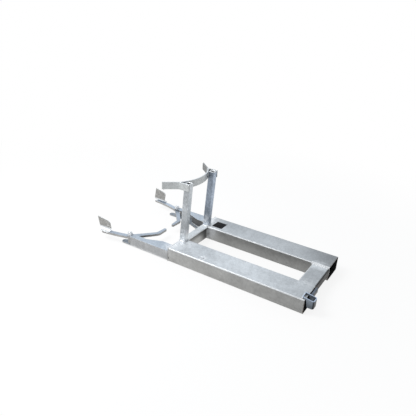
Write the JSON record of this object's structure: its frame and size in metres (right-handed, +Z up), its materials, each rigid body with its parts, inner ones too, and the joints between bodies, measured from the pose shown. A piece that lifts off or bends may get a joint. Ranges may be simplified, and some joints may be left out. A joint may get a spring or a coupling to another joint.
{
  "type": "drum lifter",
  "caption": "Fork-mounted drum lifter: fork pockets, leaning posts with a curved cradle, swinging claws with upright spoons, and a hinged fork latch.",
  "frame": {"origin": "ground level on the centre line, on the underside of the front cross beam, below the front faces of the plates that close the fork pockets", "axes": "+Z up, +Y along the pockets towards the truck, +X to the truck driver's left"},
  "size_m": [0.6976, 1.618, 0.529],
  "materials": {
    "galvanised_steel": "hot-dip galvanised, spangled",
    "dull_galvanised_steel": "hot-dip galvanised, dull",
    "zinc_plated_steel": "bright zinc plated"
  },
  "bodies": {
    "frame": {"fork_pocket_left": "galvanised_steel", "fork_pocket_right": "galvanised_steel", "pocket_end_plate_left": "dull_galvanised_steel", "pocket_end_plate_right": "dull_galvanised_steel", "front_cross_cap": "galvanised_steel", "front_cross_beam": "galvanised_steel", "rear_cross_channel": "galvanised_steel", "post_left": "galvanised_steel", "post_right": "galvanised_steel", "cradle_band": "galvanised_steel", "cradle_ear_left": "galvanised_steel", "cradle_ear_right": "galvanised_steel", "arm_top_plate_left": "galvanised_steel", "arm_top_plate_right": "galvanised_steel", "arm_bottom_plate_left": "dull_galvanised_steel", "arm_bottom_plate_right": "dull_galvanised_steel", "arm_outer_wall_left": "dull_galvanised_steel", "arm_outer_wall_right": "dull_galvanised_steel", "arm_inner_wall_left": "dull_galvanised_steel", "arm_inner_wall_right": "dull_galvanised_steel", "pivot_pin_left": "zinc_plated_steel", "pivot_pin_right": "zinc_plated_steel", "claw_spacer_left": "dull_galvanised_steel", "claw_spacer_right": "dull_galvanised_steel", "pivot_washer_left": "zinc_plated_steel", "pivot_washer_right": "zinc_plated_steel", "pivot_nut_left": "zinc_plated_steel", "pivot_nut_right": "zinc_plated_steel", "latch_barrel": "dull_galvanised_steel"},
    "claw_left": {"claw_lever_left": "galvanised_steel", "claw_spoon_left": "galvanised_steel"},
    "claw_right": {"claw_lever_right": "galvanised_steel", "claw_spoon_right": "galvanised_steel"},
    "fork_latch": {"fork_latch_strap": "galvanised_steel", "fork_latch_flap": "dull_galvanised_steel", "latch_pin": "zinc_plated_steel"}
  },
  "joints": [
    {"name": "claw_left_pivot", "type": "hinge", "parent": "frame", "child": "claw_left", "pos_m": [0.283, -0.343, 0.0595], "axis": [0, 0, -1], "range_deg": [-7, 33]},
    {"name": "claw_right_pivot", "type": "hinge", "parent": "frame", "child": "claw_right", "pos_m": [-0.283, -0.343, 0.0595], "axis": [0, 0, 1], "range_deg": [-7, 33]},
    {"name": "fork_latch_hinge", "type": "hinge", "parent": "frame", "child": "fork_latch", "pos_m": [0.2665, 0.951, 0.1063], "axis": [1, 0, 0], "range_deg": [0, 100]}
  ]
}
